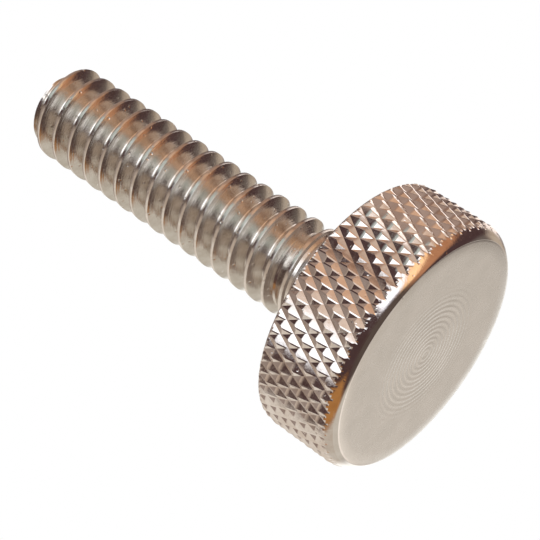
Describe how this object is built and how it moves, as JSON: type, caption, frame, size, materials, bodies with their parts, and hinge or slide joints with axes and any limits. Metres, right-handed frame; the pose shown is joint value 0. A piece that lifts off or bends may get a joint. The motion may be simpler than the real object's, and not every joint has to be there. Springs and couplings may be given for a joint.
{
  "type": "thumb screw",
  "caption": "Thumb screw turned in one piece: low round head with a diamond-knurled rim and a flat face, on a fully threaded shank with a chamfered tip.",
  "frame": {"origin": "centre of the head's flat outer face, on which the screw stands", "axes": "+Z along the screw's axis, from the head's flat face to the tip of the shank"},
  "size_m": [0.0126, 0.0126, 0.0234],
  "materials": {
    "screw_steel": "bare stainless steel: satin faced end with fine turning rings, polished round at the rim, bright diamond knurl, rolled thread with a dull sheen"
  },
  "bodies": {
    "root": {"thumb_screw": "screw_steel"}
  },
  "joints": []
}
